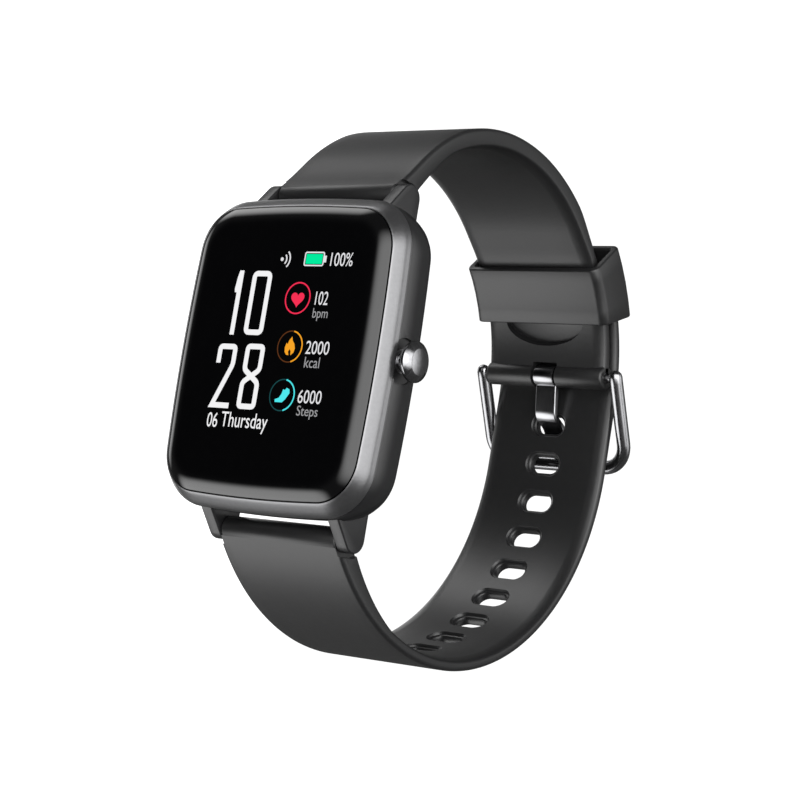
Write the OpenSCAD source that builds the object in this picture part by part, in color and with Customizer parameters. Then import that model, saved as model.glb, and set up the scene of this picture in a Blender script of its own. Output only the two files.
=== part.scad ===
// Square fitness watch, buckled into its wrist loop.
// +Z leaves the display, +Y points to 12 o'clock, +X to the side button.
// The origin is the centre of the sensor window's face, which rests on the wrist.
// A place in the loop is written as [y, z]; the straps are swept along X.

/* [Case] */
// Width of the case, without the button
case_w = 34.1; // [30:0.1:42]
// Length of the case, without the lugs
case_l = 40.2; // [36:0.1:50]
// Height of the glass seam above the wrist face
seam_z = 9.8; // [9.4:0.1:13]
// Corner radius of the case seen from the front
case_corner = 6.7; // [5:0.1:9]
// Thickness of the case wall at the sides
case_wall = 2.05; // [1.8:0.05:2.6]
// How far the sensor window stands out of the back cover
sensor_proud = 0.6; // [0.3:0.1:1.2]
// Width of the bezel's front band along the long sides
bezel_side = 1.13; // [0.9:0.01:1.6]
// Width of the bezel's front band along the short sides
bezel_end = 1.52; // [1:0.01:2]
// Height that the glass is domed above its seam
glass_dome = 0.9; // [0.5:0.1:1.2]

/* [Lugs and straps] */
// Gap between two lugs
lug_gap = 19; // [16:0.5:24]
// Thickness of one lug
lug_t = 1.88; // [1.4:0.02:3]
// Distance from the case end to the spring bar
bar_out = 1.8; // [1.7:0.1:3]
// Width of the strap past the lugs
strap_w = 20; // [17:0.5:25]
// Thickness of the 12 o'clock strap
buckle_strap_t = 2; // [1.6:0.1:3]
// Thickness of the 6 o'clock strap
hole_strap_t = 1.7; // [1.4:0.1:2.4]
// Radius of the moulded roll at each lug end of a strap
lug_roll_r = 1.7; // [1.6:0.05:2]
// Bend radius of the loop over the wrist
loop_r = 27; // [24:0.5:36]
// Number of adjustment holes
hole_count = 10; // [6:1:11]
// Distance between two adjustment holes
hole_pitch = 5.8; // [5.6:0.1:7]

/* [Buckle and keeper] */
// Length of the buckle frame from its bar to its far edge
frame_len = 14.5; // [13.5:0.1:18]
// Thickness of the buckle frame
frame_t = 1.9; // [1.4:0.1:2.2]
// Width of the tongue
tongue_w = 3.5; // [2.5:0.1:4]
// Wall of the keeper loop
keeper_t = 1; // [0.7:0.1:1.4]
// Length of the keeper along the strap
keeper_len = 9; // [5:0.5:10]

/* [Side button] */
// Radius of the button cap
cap_r = 2.55; // [2:0.05:3]
// How far the cap's face stands out of the case
cap_out = 2.4; // [2:0.1:3.2]
// Travel of the button
press = 0.4; // [0.2:0.05:0.5]

/* [Hidden] */
$fn = 48;
eps = 0.01;
skin = 0.05;      // a slab inside a hull
clear = 0.1;      // fixed pieces that lie beside each other
run = 0.05;       // radial clearance of a shaft that moves in a hole

// ---- outline of the case: four bowed sides joined by round corners ----
bow_x = 250;      // radius of the long sides
bow_y = 190;      // radius of the short sides
corner_steps = 8;
side_steps = 4;
half_w = case_w / 2;
half_l = case_l / 2;
glass_corner = case_corner - 1.1;

function arc(c, r, a0, a1, n) =
    [for (i = [0:n]) c + r * [cos(a0 + (a1 - a0) * i / n), sin(a0 + (a1 - a0) * i / n)]];
// Centre of the corner circle of radius r that touches both bowed sides
function corner_centre(hw, hl, r) =
    let (c1 = [hw - bow_x, 0], c2 = [0, hl - bow_y], r1 = bow_x - r, r2 = bow_y - r,
         d = norm(c2 - c1), a = (r1 * r1 - r2 * r2 + d * d) / (2 * d),
         h = sqrt(r1 * r1 - a * a), u = (c2 - c1) / d)
    c1 + a * u + h * [-u[1], u[0]];
// The corner and the ends of its two sides, of an outline hw by hl grown by g
function quarter(hw, hl, r, g) =
    let (k = corner_centre(hw, hl, r), a1 = atan2(k[1], k[0] - hw + bow_x),
         a2 = atan2(k[1] - hl + bow_y, k[0]))
    concat(arc([hw - bow_x, 0], bow_x + g, a1 / side_steps, a1 * (side_steps - 1) / side_steps, side_steps - 2),
           arc(k, r + g, a1, a2, corner_steps),
           arc([0, hl - bow_y], bow_y + g, a2 + (90 - a2) / side_steps,
               a2 + (90 - a2) * (side_steps - 1) / side_steps, side_steps - 2));
function outline(hw, hl, r, g) =
    let (q = quarter(hw, hl, r, g), n = len(q))
    concat([[hw + g, 0]], q, [[0, hl + g]],
           [for (i = [n - 1:-1:0]) [-q[i][0], q[i][1]]], [[-hw - g, 0]],
           [for (p = q) [-p[0], -p[1]]], [[0, -hl - g]],
           [for (i = [n - 1:-1:0]) [q[i][0], -q[i][1]]]);
// A slab between two heights: of the case outline grown by g
module slab(g, z0, z1) {
    translate([0, 0, z0])
        linear_extrude(z1 - z0)
            polygon(outline(half_w, half_l, case_corner, g));
}
// Of the glass outline grown by g
module glass_slab(g, z0, z1) {
    translate([0, 0, z0])
        linear_extrude(z1 - z0)
            polygon(outline(half_w - bezel_side, half_l - bezel_end, glass_corner, g));
}
// Of the bezel, t = 0 at the case outline and 1 at the glass outline
module bezel_slab(t, z0, z1) {
    translate([0, 0, z0])
        linear_extrude(z1 - z0)
            polygon(outline(half_w - bezel_side * t, half_l - bezel_end * t,
                            case_corner + (glass_corner - case_corner) * t, 0));
}
module profile_x(x0, x1) {
    translate([x0, 0, 0])
        rotate([90, 0, 90])
            linear_extrude(x1 - x0)
                children();
}
// A cylinder along X, centred on the place p in the loop
module rod_x(p, r, x0, x1) {
    translate([x0, p[0], p[1]])
        rotate([0, 90, 0])
            cylinder(h = x1 - x0, r = r);
}
module both_x() {
    children();
    mirror([1, 0, 0])
        children();
}
module both_y() {
    children();
    mirror([0, 1, 0])
        children();
}

// ---- heights in the case, from the wrist face up ----
back_z = sensor_proud;
cover_t = 1;
flange_t = 0.8;
flange_z = back_z + cover_t;
cavity_z = flange_z + flange_t;
crease_z = seam_z - 2.3;          // where the bezel meets the case body
side_z = seam_z - 4.5;            // where the side starts to turn in
turn_z = seam_z - 7.2;
glass_z = seam_z - 0.8;           // underside of the glass
tape_t = 0.25;
display_t = 1.4;
display_z = glass_z - display_t;
pocket_gap = 0.08;

module case_shape() {
    hull() {
        slab(0, side_z, crease_z);
        slab(-0.65, turn_z, turn_z + skin);
        slab(-2.55, back_z, back_z + skin);
    }
}

// ---- lugs and their spring bars ----
lug_tip_r = 1.82;
bar_y = half_l + bar_out;
bar_z = seam_z - 7.5;
bar_at = [bar_y, bar_z];
lug_tip = [bar_y - 0.4, bar_z + 0.1];
lug_slope = 40.5;                 // front face of a lug, from the case end
tip_hole_r = 0.5;
tip_hole_depth = 1.2;
lug_x0 = lug_gap / 2;
lug_x1 = lug_x0 + lug_t;
lug_front = lug_tip + lug_tip_r * [sin(lug_slope), cos(lug_slope)];
lug_root_y = half_l - 3;
lug_top_z = lug_front[1] + (lug_front[0] - half_l + 1.3) * tan(lug_slope);

module lug_profile() {
    polygon(concat(arc(lug_tip, lug_tip_r, -90, 90 - lug_slope, 12),
                   [[half_l - 1.3, lug_top_z], [lug_root_y, lug_top_z],
                    [lug_root_y, lug_tip[1] - lug_tip_r]]));
}
module lugs() {
    both_y() both_x() profile_x(lug_x0, lug_x1) lug_profile();
}

// ---- cavity, screws and back ----
cavity_g = -case_wall;
pocket_g = -3.35;
flange_g = -4.75;
boss_at = [half_w - 5.65, half_l - 6.2];
boss_r = 1.9;
boss_h = 2;
screw_r = 0.7;
screw_head_r = 1.25;
screw_head_h = 0.45;
screw_len = 2.3;

module at_screws() {
    both_x() both_y() translate([boss_at[0], boss_at[1], 0]) children();
}

// ---- side button ----
button_y = 0.2;
button_z = seam_z - 4;
cap_face_x = half_w + cap_out;
cap_t = 1.1;
cap_flat_r = 1.6;
cap_chamfer = 0.6;
stem_r = 1;
bushing_r = 1.5;
bushing_x0 = half_w - 2.55;
well_depth = 0.35;
bushing_x1 = half_w - well_depth;
hub_r = 1.85;
clip_t = 0.35;
clip_r = 1.4;
stem_x0 = bushing_x0 - clip_t - 0.75;
well_r = cap_r + 0.3;
seal_x = half_w - 1.1;
seal_w = 0.7;
seal_groove_r = 0.72;

module at_button() {
    translate([0, button_y, button_z])
        rotate([0, 90, 0])
            children();
}

module case_body() {
    color([0.09, 0.09, 0.1])
        difference() {
            union() {
                difference() {
                    union() {
                        case_shape();
                        lugs();
                    }
                    slab(cavity_g, cavity_z, crease_z + eps);
                    slab(flange_g, back_z - 1, cavity_z + eps);
                    slab(pocket_g, back_z - 1, flange_z);
                }
                at_screws() translate([0, 0, flange_z]) cylinder(h = boss_h, r = boss_r);
            }
            at_screws() translate([0, 0, flange_z - eps]) cylinder(h = boss_h - 0.3, r = screw_r + eps);
            both_y() both_x() rod_x(bar_at, tip_hole_r, lug_x0 - 1, lug_x0 + tip_hole_depth);
            at_button() translate([0, 0, half_w - 4]) cylinder(h = 5, r = bushing_r);
            at_button() translate([0, 0, half_w - well_depth]) cylinder(h = 2, r = well_r);
        }
}

module bezel_ring() {
    color([0.45, 0.45, 0.46])
        difference() {
            hull() {
                bezel_slab(0, crease_z, crease_z + skin);
                bezel_slab(0.09, crease_z + 0.7, crease_z + 0.7 + skin);
                bezel_slab(0.34, crease_z + 1.4, crease_z + 1.4 + skin);
                bezel_slab(0.64, crease_z + 1.95, crease_z + 1.95 + skin);
                bezel_slab(0.94, seam_z - skin, seam_z);
            }
            glass_slab(0, glass_z - tape_t, seam_z + 1);
            glass_slab(-1.5, crease_z - 1, seam_z);
        }
}

module cover_glass() {
    g = -pocket_gap;
    color([0.02, 0.02, 0.025])
        hull() {
            glass_slab(g, glass_z, seam_z + 0.05);
            glass_slab(g - 0.28, seam_z + glass_dome * 0.5, seam_z + glass_dome * 0.5 + skin);
            glass_slab(g - 0.95, seam_z + glass_dome * 0.83, seam_z + glass_dome * 0.83 + skin);
            glass_slab(g - 2.3, seam_z + glass_dome - skin, seam_z + glass_dome);
        }
}

module glass_adhesive() {
    color([0.12, 0.12, 0.12])
        difference() {
            glass_slab(-pocket_gap - 0.1, glass_z - tape_t, glass_z);
            glass_slab(-1.5, glass_z - 1, glass_z + 1);
        }
}

// ---- electronics ----
panel_g = -1.75;
board_g = -3.7;
board_t = 0.8;
board_z = display_z - 0.25 - board_t;
flex_w = 8;
flex_t = 0.2;
chip_h = 0.9;
battery_z = cavity_z + 0.85;
battery_size = [20.4, 16.6, 3];
battery_at = [0, -3, battery_z + battery_size[2] / 2];
motor_r = 4;
motor_h = 2.5;
motor_at = [10.45 - half_w, half_l - 9.7];
window_r = 6.5;
window_flange_r = 7.3;

module box_at(c, s) {
    translate(c)
        cube(s, center = true);
}

module display_panel() {
    color([0.03, 0.03, 0.05])
        glass_slab(panel_g, display_z, glass_z);
}

// A ribbon that leaves the panel's 12 o'clock edge and turns under the board
module display_flex() {
    y1 = half_l + board_g + 0.35;
    y0 = y1 - 3.5;
    z0 = board_z - flex_t - 0.02;
    z1 = display_z - flex_t;
    color([0.75, 0.5, 0.15])
        profile_x(-flex_w / 2, flex_w / 2)
            polygon([[y0, z0], [y1, z0], [y1, z1 + flex_t - 0.02], [y0, z1 + flex_t - 0.02],
                     [y0, z1 - 0.02], [y1 - flex_t, z1 - 0.02], [y1 - flex_t, z0 + flex_t], [y0, z0 + flex_t]]);
}

module inner_frame() {
    frame_z0 = flange_z + boss_h + 0.1;
    frame_z1 = crease_z - 0.15;
    color([0.16, 0.16, 0.17])
        difference() {
            union() {
                difference() {
                    slab(cavity_g - 0.15, frame_z0, frame_z1);
                    slab(cavity_g - 1.15, frame_z0 - 1, frame_z1 + 1);
                }
                box_at([0, battery_at[1] + battery_size[1] / 2 + 0.55, frame_z0 + 0.6], [case_w - 6, 0.8, 1.2]);
            }
            box_at([half_w - case_wall - 1, button_y, button_z], [3, 5, 8]);
        }
}

module mainboard() {
    color([0.05, 0.25, 0.12])
        difference() {
            slab(board_g, board_z, board_z + board_t);
            box_at([half_w + board_g, button_y, board_z], [1.6, 2 * stem_r + 1, 3]);
        }
}

module board_chips() {
    color([0.1, 0.1, 0.11]) {
        for (x = [-8, -3.5])
            box_at([x, 0, 0] + [0, -half_l + 8.6 - 2, board_z - chip_h / 2], [3, 2.4, chip_h]);
        box_at([3.2, -half_l + 6.6, board_z - chip_h / 2], [5, 2.6, chip_h]);
    }
}

module shield_can() {
    color([0.7, 0.7, 0.72])
        difference() {
            box_at([4.6, 9.6, board_z - 0.6], [9, 6.6, 1.2]);
            box_at([4.6, 9.6, board_z - 0.5], [8.6, 6.2, 1.02]);
        }
}

module battery() {
    color([0.55, 0.56, 0.6])
        translate(battery_at)
            linear_extrude(battery_size[2], center = true) {
                square([battery_size[0] - 2, battery_size[1]], center = true);
                square([battery_size[0], battery_size[1] - 2], center = true);
                for (x = [-1, 1], y = [-1, 1])
                    translate([x * (battery_size[0] / 2 - 1), y * (battery_size[1] / 2 - 1)])
                        circle(1);
            }
}

module battery_tape() {
    color([0.9, 0.8, 0.2])
        box_at([0, battery_at[1], battery_z - 0.1], [battery_size[0] - 3, battery_size[1] - 3, 0.2]);
}

module vibration_motor() {
    color([0.7, 0.7, 0.7])
        translate([motor_at[0], motor_at[1], battery_z])
            cylinder(h = motor_h, r = motor_r);
}

module antenna_strip() {
    color([0.8, 0.6, 0.2])
        box_at([0, half_l + cavity_g - 1.15 - 0.3, flange_z + boss_h + 1.4], [12, 0.2, 1.6]);
}

module sensor_board() {
    color([0.05, 0.25, 0.12])
        translate([0, 0, cavity_z])
            cylinder(h = 0.6, r = window_flange_r);
}

module sensor_leds() {
    color([0.9, 0.95, 0.8])
        translate([0, 0, cavity_z - 0.5]) {
            for (x = [-2.4, 2.4])
                translate([x - 0.8, -0.8, 0])
                    cube([1.6, 1.6, 0.5]);
            translate([-0.9, -1.2, 0])
                cube([1.8, 2.4, 0.5]);
        }
}

module sensor_window() {
    color([0.03, 0.03, 0.04]) {
        cylinder(h = flange_z, r = window_r);
        translate([0, 0, flange_z - 0.4])
            cylinder(h = 0.4, r = window_flange_r);
    }
}

contact_r = 1;
contact_at = [1.5, -11.4];

module charging_contacts() {
    color([0.85, 0.7, 0.35])
        both_x()
            translate([contact_at[0], contact_at[1], back_z - 0.1])
                cylinder(h = 1.6, r = contact_r);
}

module back_cover() {
    gasket_g = pocket_g - 0.3;
    color([0.07, 0.07, 0.075])
        difference() {
            union() {
                slab(pocket_g - clear, back_z, flange_z);
                translate([0, 0, back_z - 0.35])
                    cylinder(h = 0.36, r1 = window_r + 2, r2 = window_r + 2.9);
            }
            difference() {
                slab(gasket_g, flange_z - 0.35, flange_z + 1);
                slab(gasket_g - 0.5, flange_z - 1, flange_z + 1);
            }
            translate([0, 0, -1]) cylinder(h = 4, r = window_r + eps);
            translate([0, 0, flange_z - 0.4]) cylinder(h = 1, r = window_flange_r + eps);
            both_x() translate([contact_at[0], contact_at[1], -1]) cylinder(h = 4, r = contact_r + eps);
            at_screws() translate([0, 0, -1]) cylinder(h = 4, r = screw_r + 0.1);
            at_screws() translate([0, 0, -1]) cylinder(h = 1 + back_z + screw_head_h, r = screw_head_r + 0.1);
        }
}

module back_gasket() {
    gasket_g = pocket_g - 0.3 - 0.04;
    color([0.3, 0.3, 0.3])
        difference() {
            slab(gasket_g, flange_z - 0.33, flange_z);
            slab(gasket_g - 0.42, flange_z - 1, flange_z + 1);
        }
}

module case_screws() {
    color([0.6, 0.6, 0.62])
        at_screws()
            difference() {
                union() {
                    translate([0, 0, back_z + 0.02]) cylinder(h = screw_head_h - 0.02, r = screw_head_r);
                    translate([0, 0, back_z + 0.1]) cylinder(h = screw_len, r = screw_r);
                }
                translate([0, 0, back_z]) box_at([0, 0, 0], [1.6, 0.35, 0.4]);
                translate([0, 0, back_z]) box_at([0, 0, 0], [0.35, 1.6, 0.4]);
            }
}

// ---- side button, its seal, clip and switch ----
module side_button() {
    color([0.35, 0.35, 0.36])
        at_button()
            difference() {
                union() {
                    translate([0, 0, stem_x0]) cylinder(h = cap_face_x - cap_t - stem_x0 + eps, r = stem_r);
                    translate([0, 0, half_w + press + 0.15]) cylinder(h = cap_out - cap_t - press, r = hub_r);
                    translate([0, 0, cap_face_x - cap_t]) cylinder(h = cap_t - cap_chamfer + eps, r = cap_r);
                    translate([0, 0, cap_face_x - cap_chamfer]) cylinder(h = cap_chamfer, r1 = cap_r, r2 = cap_flat_r);
                }
                translate([0, 0, seal_x]) ring(seal_w, seal_groove_r, stem_r + 1);
                translate([0, 0, bushing_x0 - clip_t - 0.05]) ring(clip_t + 0.04, 0.7, stem_r + 1);
            }
}

module ring(h, r_in, r_out) {
    difference() {
        cylinder(h = h, r = r_out);
        translate([0, 0, -1])
            cylinder(h = h + 2, r = r_in);
    }
}

module button_bushing() {
    color([0.5, 0.5, 0.52])
        at_button()
            translate([0, 0, bushing_x0])
                ring(bushing_x1 - bushing_x0, stem_r + run, bushing_r - eps);
}

module button_seal() {
    color([0.15, 0.15, 0.15])
        at_button()
            translate([0, 0, seal_x + 0.02])
                ring(seal_w - 0.04, seal_groove_r + eps, stem_r + run - eps);
}

module button_clip() {
    color([0.7, 0.7, 0.7])
        at_button()
            translate([0, 0, bushing_x0 - clip_t - 0.03])
                difference() {
                    ring(clip_t, 0.7 + eps, clip_r);
                    translate([0, 0, 0.1]) box_at([clip_r, 0, 0], [2 * clip_r, 0.9, 3]);
                }
}

plunger_len = 0.75;
switch_x1 = stem_x0 - 0.02 - press - 0.1;

module switch_body() {
    x0 = switch_x1 - 1.1;
    color([0.12, 0.12, 0.12])
        difference() {
            box_at([(x0 + switch_x1) / 2, button_y, board_z - 0.85], [1.1, 3.2, 1.7]);
            at_button() translate([0, 0, switch_x1 - 0.8]) cylinder(h = 2, r = 0.45 + run);
        }
}

module switch_plunger() {
    color([0.8, 0.75, 0.6])
        at_button()
            translate([0, 0, stem_x0 - 0.02 - plunger_len])
                cylinder(h = plunger_len, r = 0.45);
}

// ---- the wrist loop: each strap follows a path of [length, turn] steps ----
// A state is [y, z, heading, distance]. A positive turn bends towards the inside of the loop.
function ahead(h) = [cos(h), sin(h)];
function outward(h) = [-sin(h), cos(h)];
function arc_step(r, turn) = [r * turn * PI / 180, turn];
function step(s, len, turn) =
    let (r = turn == 0 ? 0 : len / turn * 180 / PI, h = s[2] - turn,
         p = turn == 0 ? [s[0], s[1]] + len * ahead(s[2])
                       : [s[0], s[1]] - r * outward(s[2]) + r * outward(h))
    [p[0], p[1], h, s[3] + len];
function pieces(turn) = max(1, ceil(abs(turn) / 5));
function walk(s, steps, i = 0) =
    i == len(steps) ? [] :
    let (n = pieces(steps[i][1]), end = step(s, steps[i][0], steps[i][1]))
    concat([for (k = [1:n]) step(s, steps[i][0] * k / n, steps[i][1] * k / n)], walk(end, steps, i + 1));
function path(s, steps) = concat([s], walk(s, steps));
// The state at a distance along the steps
function at(s, steps, d, i = 0) =
    i == len(steps) - 1 || d <= s[3] + steps[i][0]
        ? step(s, d - s[3], steps[i][1] * (d - s[3]) / steps[i][0])
        : at(step(s, steps[i][0], steps[i][1]), steps, d, i + 1);
function last(v) = v[len(v) - 1];
// A strap is thicker near its roll, on its inner side
function swell(s, more, fade) = s > fade ? 0 : more * (1 - s / fade);
// The outer side stands a little proud round the bend, between two distances
function crown(s, more, s0, s1) = more * max(0, min(1, (s - s0) / 12, (s1 - s) / 7));
function ribbon(p, t, more, fade, proud = 0, s0 = 0, s1 = 1) =
    concat([for (s = p) [s[0], s[1]] + (t / 2 + crown(s[3], proud, s0, s1)) * outward(s[2])],
           [for (i = [len(p) - 1:-1:0]) let (s = p[i])
               [s[0], s[1]] - (t / 2 + swell(s[3], more, fade)) * outward(s[2])]);
// Local axes at a state: X across the strap, Y ahead, Z outwards
module place(s) {
    translate([0, s[0], s[1]])
        rotate([s[2], 0, 0])
            children();
}

// 12 o'clock strap, from its lug roll to the buckle bar
lead_angle = 45;
lead_len = 6.2;
top_turn = 85;
side_len = 3.2;
buckle_arc_r = 26;                // the stretch that the keeper slides on
buckle_arc_turn = 38;
end_len = 2.3;
buckle_roll_r = 1.7;
bend_crown = 0.7;
buckle_steps = [[lead_len, 0], arc_step(loop_r, top_turn), [side_len, 0],
                arc_step(buckle_arc_r, buckle_arc_turn), [end_len, 0]];
buckle_rise = lug_roll_r - buckle_strap_t / 2;
buckle_start = let (p = bar_at + buckle_rise * outward(-lead_angle)) [p[0], p[1], -lead_angle, 0];
buckle_path = path(buckle_start, buckle_steps);
buckle_end = last(buckle_path);
buckle_bar = [buckle_end[0], buckle_end[1]];
arc_start = at(buckle_start, buckle_steps, buckle_steps[0][0] + buckle_steps[1][0] + side_len);
arc_centre = [arc_start[0], arc_start[1]] - buckle_arc_r * outward(arc_start[2]);

// 6 o'clock strap, worked out mirrored about Y = 0: one large arc, a flat stretch past the buckle
// and the tail, which shares its centre with the 12 o'clock strap
strap_gap = 0.12;
flat_y = 3.4;                     // where the large arc ends
tail_turn = 43;
tail_tip_r = 7;
tail_r = norm(buckle_bar - arc_centre) + buckle_roll_r + strap_gap + hole_strap_t / 2;
tail_z = arc_centre[1] - tail_r;
hole_rise = lug_roll_r - hole_strap_t / 2;
low_dy = bar_y - flat_y;
low_dz = bar_z - tail_z;
low_r = (low_dy * low_dy + low_dz * low_dz - hole_rise * hole_rise) / (2 * (low_dz - hole_rise));
low_centre = [flat_y, tail_z + low_r];
low_heading = -atan2(bar_y - low_centre[0], bar_z - low_centre[1]);
flat_len = flat_y + arc_centre[0];
hole_steps = [arc_step(low_r, 180 + low_heading), [flat_len, 0], arc_step(tail_r, tail_turn)];
hole_start = let (p = low_centre + low_r * outward(low_heading)) [p[0], p[1], low_heading, 0];
hole_path = path(hole_start, hole_steps);
tongue_drop = 6.9;                // from the buckle bar down to the hole that the tongue is in
tongue_dist = hole_steps[0][0] + flat_y + buckle_bar[0] - tongue_drop;
hole_size = [4.8, 2.6];
hole_rim = [6, 3.7];
rim_depth = 0.35;

// The space that the lug tips need beside the strap
module lug_relief() {
    both_x()
        profile_x(lug_x0 - clear, strap_w) {
            translate(lug_tip)
                circle(lug_tip_r + 0.63);
            translate(lug_tip + [-0.3, -1.2])
                circle(lug_tip_r + 0.83);
        }
}
lever_x = 6.9;
lever_angle = -135;               // the lever points to the inside of the loop

module lever_slot(half_width, x0, x1, reach) {
    translate([0, bar_y, bar_z])
        rotate([lever_angle - 90, 0, 0])
            translate([x0, -half_width, 0])
                cube([x1 - x0, 2 * half_width, reach]);
}
module strap_end() {
    rod_x(bar_at, lug_roll_r, -lug_x0 + clear, lug_x0 - clear);
}
module strap_end_cuts() {
    lug_relief();
    rod_x(bar_at, tube_r + 0.02, -strap_w, strap_w);
    lever_slot(0.65, lever_x - quick_travel - 0.7, lever_x + 0.7, lug_roll_r + 3);
}
// A half disc whose straight side is hidden under the keeper
function half_disc(a, b, c, n) =
    concat([[a, -1.5]], [for (i = [0:n]) [a * cos(180 * i / n), c + b * sin(180 * i / n)]], [[-a, -1.5]]);
keeper_heading = -145.7;
dimple_depth = 0.4;

module buckle_strap() {
    mid = [for (i = [0:1]) arc_centre[i] + buckle_arc_r * outward(keeper_heading)[i]];
    color([0.1, 0.1, 0.105])
        difference() {
            union() {
                profile_x(-strap_w / 2, strap_w / 2)
                    polygon(ribbon(buckle_path, buckle_strap_t, 2 * buckle_rise, 12, bend_crown, 3, 51));
                strap_end();
                rod_x(buckle_bar, buckle_roll_r, -strap_w / 2, strap_w / 2);
            }
            strap_end_cuts();
            rod_x(buckle_bar, buckle_tube_r + 0.02, -strap_w, strap_w);
            place([buckle_bar[0], buckle_bar[1], buckle_end[2]])
                translate([-tongue_w / 2 - 0.3, -1.9, -4])
                    cube([tongue_w + 0.6, 6, 8]);
            place([mid[0], mid[1], keeper_heading])
                translate([0, 0, -buckle_strap_t / 2 - 1])
                    linear_extrude(1 + dimple_depth)
                        polygon(half_disc(6.6, 3.3, keeper_len / 2 - 0.2, 24));
        }
}

module stadium(size) {
    for (x = [-1, 1])
        translate([x * (size[0] - size[1]) / 2, 0])
            circle(size[1] / 2);
    square([size[0] - size[1], size[1]], center = true);
}

module hole_strap() {
    color([0.1, 0.1, 0.105])
        mirror([0, 1, 0])
            difference() {
                union() {
                    profile_x(-strap_w / 2, strap_w / 2)
                        polygon(ribbon(hole_path, hole_strap_t, 2 * hole_rise, 16));
                    strap_end();
                }
                strap_end_cuts();
                for (i = [0:hole_count - 1]) {
                    s = at(hole_start, hole_steps, tongue_dist - i * hole_pitch);
                    place(s) {
                        linear_extrude(8, center = true)
                            stadium(hole_size);
                        translate([0, 0, -hole_strap_t / 2 - 1])
                            linear_extrude(1 + rim_depth)
                                stadium(hole_rim);
                    }
                }
                place(last(hole_path))
                    translate([0, -tail_tip_r, -4])
                        linear_extrude(8)
                            difference() {
                                translate([-strap_w, 0])
                                    square([2 * strap_w, 2 * tail_tip_r]);
                                intersection() {
                                    circle(tail_tip_r);
                                    square([2 * strap_w, 4 * tail_tip_r], center = true);
                                }
                                square([strap_w - 2 * tail_tip_r, 4 * tail_tip_r], center = true);
                            }
            }
}

// ---- keeper: a ring that slides round the arc it shares with both straps ----
keeper_play = 0.15;
keeper_side = 0.3;
keeper_in_r = buckle_arc_r - buckle_strap_t / 2 - keeper_play;
keeper_out_r = tail_r + hole_strap_t / 2 + keeper_play + 0.5;
keeper_half = keeper_len / 2 / buckle_arc_r * 180 / PI;

// A stretch of ring between two radii about the shared centre
module ring_sector(r0, r1, half, half_width) {
    translate([0, arc_centre[0], arc_centre[1]])
        rotate([90, 0, 90])
            rotate([0, 0, keeper_heading + 90 - half])
                rotate_extrude(angle = 2 * half)
                    translate([r0, -half_width])
                        square([r1 - r0, 2 * half_width]);
}
module keeper_loop() {
    inner_w = strap_w / 2 + keeper_side;
    color([0.11, 0.11, 0.115])
        difference() {
            ring_sector(keeper_in_r - keeper_t, keeper_out_r + keeper_t, keeper_half, inner_w + keeper_t);
            ring_sector(keeper_in_r, keeper_out_r, keeper_half + 5, inner_w);
        }
}

// ---- quick-release spring bars at the lugs ----
tube_r = 0.9;
tube_bore = 0.62;
tube_end = lug_x0 - 0.3;
quick_travel = 1.3;
pin_r = tube_bore - run + 0.01;
tip_r = 0.45;
pin_x0 = 4.5;
tip_reach = 1.1;

module bar_tube() {
    difference() {
        rod_x(bar_at, tube_r, -tube_end, tube_end);
        rod_x(bar_at, tube_bore, -tube_end + 1, tube_end + 1);
        lever_slot(0.45, lever_x - quick_travel - 0.5, lever_x + 0.5, 3);
    }
    rod_x(bar_at, tip_r, -lug_x0 - tip_reach, -tube_end + eps);
}
module bar_pin() {
    rod_x(bar_at, pin_r, pin_x0, tube_end);
    rod_x(bar_at, tip_r, tube_end - eps, lug_x0 + tip_reach);
    translate([lever_x, bar_y, bar_z])
        rotate([lever_angle - 90, 0, 0])
            cylinder(h = lug_roll_r + 0.9, r = 0.35);
}
module bar_spring() {
    turns = 9;
    x0 = -tube_end + 1.4;
    pitch = (pin_x0 - quick_travel - 0.3 - x0) / turns;
    difference() {
        rod_x(bar_at, tube_bore - 0.06, x0, x0 + turns * pitch);
        rod_x(bar_at, 0.32, x0 - 1, x0 + turns * pitch + 1);
        for (i = [0:turns - 1])
            translate([x0 + (i + 0.35) * pitch, bar_y, bar_z])
                rotate([0, 90, 0])
                    ring(pitch * 0.3, 0.42, 1);
    }
}
module upper_bar_tube() {
    color([0.7, 0.7, 0.72])
        bar_tube();
}
module upper_bar_pin() {
    color([0.75, 0.75, 0.77])
        bar_pin();
}
module upper_bar_spring() {
    color([0.6, 0.6, 0.62])
        bar_spring();
}
module lower_bar_tube() {
    color([0.7, 0.7, 0.72])
        mirror([0, 1, 0])
            bar_tube();
}
module lower_bar_pin() {
    color([0.75, 0.75, 0.77])
        mirror([0, 1, 0])
            bar_pin();
}
module lower_bar_spring() {
    color([0.6, 0.6, 0.62])
        mirror([0, 1, 0])
            bar_spring();
}

// ---- buckle: bar, frame and tongue ----
buckle_tube_r = 0.8;
buckle_tip_r = 0.5;
arm_w = 2;
arm_gap = 0.55;
arm_x = strap_w / 2 + arm_gap + arm_w / 2;
frame_tilt = 27.8;                // the frame leans out over the tail
frame_heading = -180 + frame_tilt;
corner_r = 3.8;
eyelet_r = 1.2;
edge_r = 0.7;
function rounded(w, h, r, n) = [for (q = [0:3], i = [0:n])
    let (sx = (q == 0 || q == 3) ? 1 : -1, sy = q < 2 ? 1 : -1, a = 90 * q + 90 * i / n)
    [sx * (w / 2 - r) + r * cos(a), sy * (h / 2 - r) + r * sin(a)]];

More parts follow.
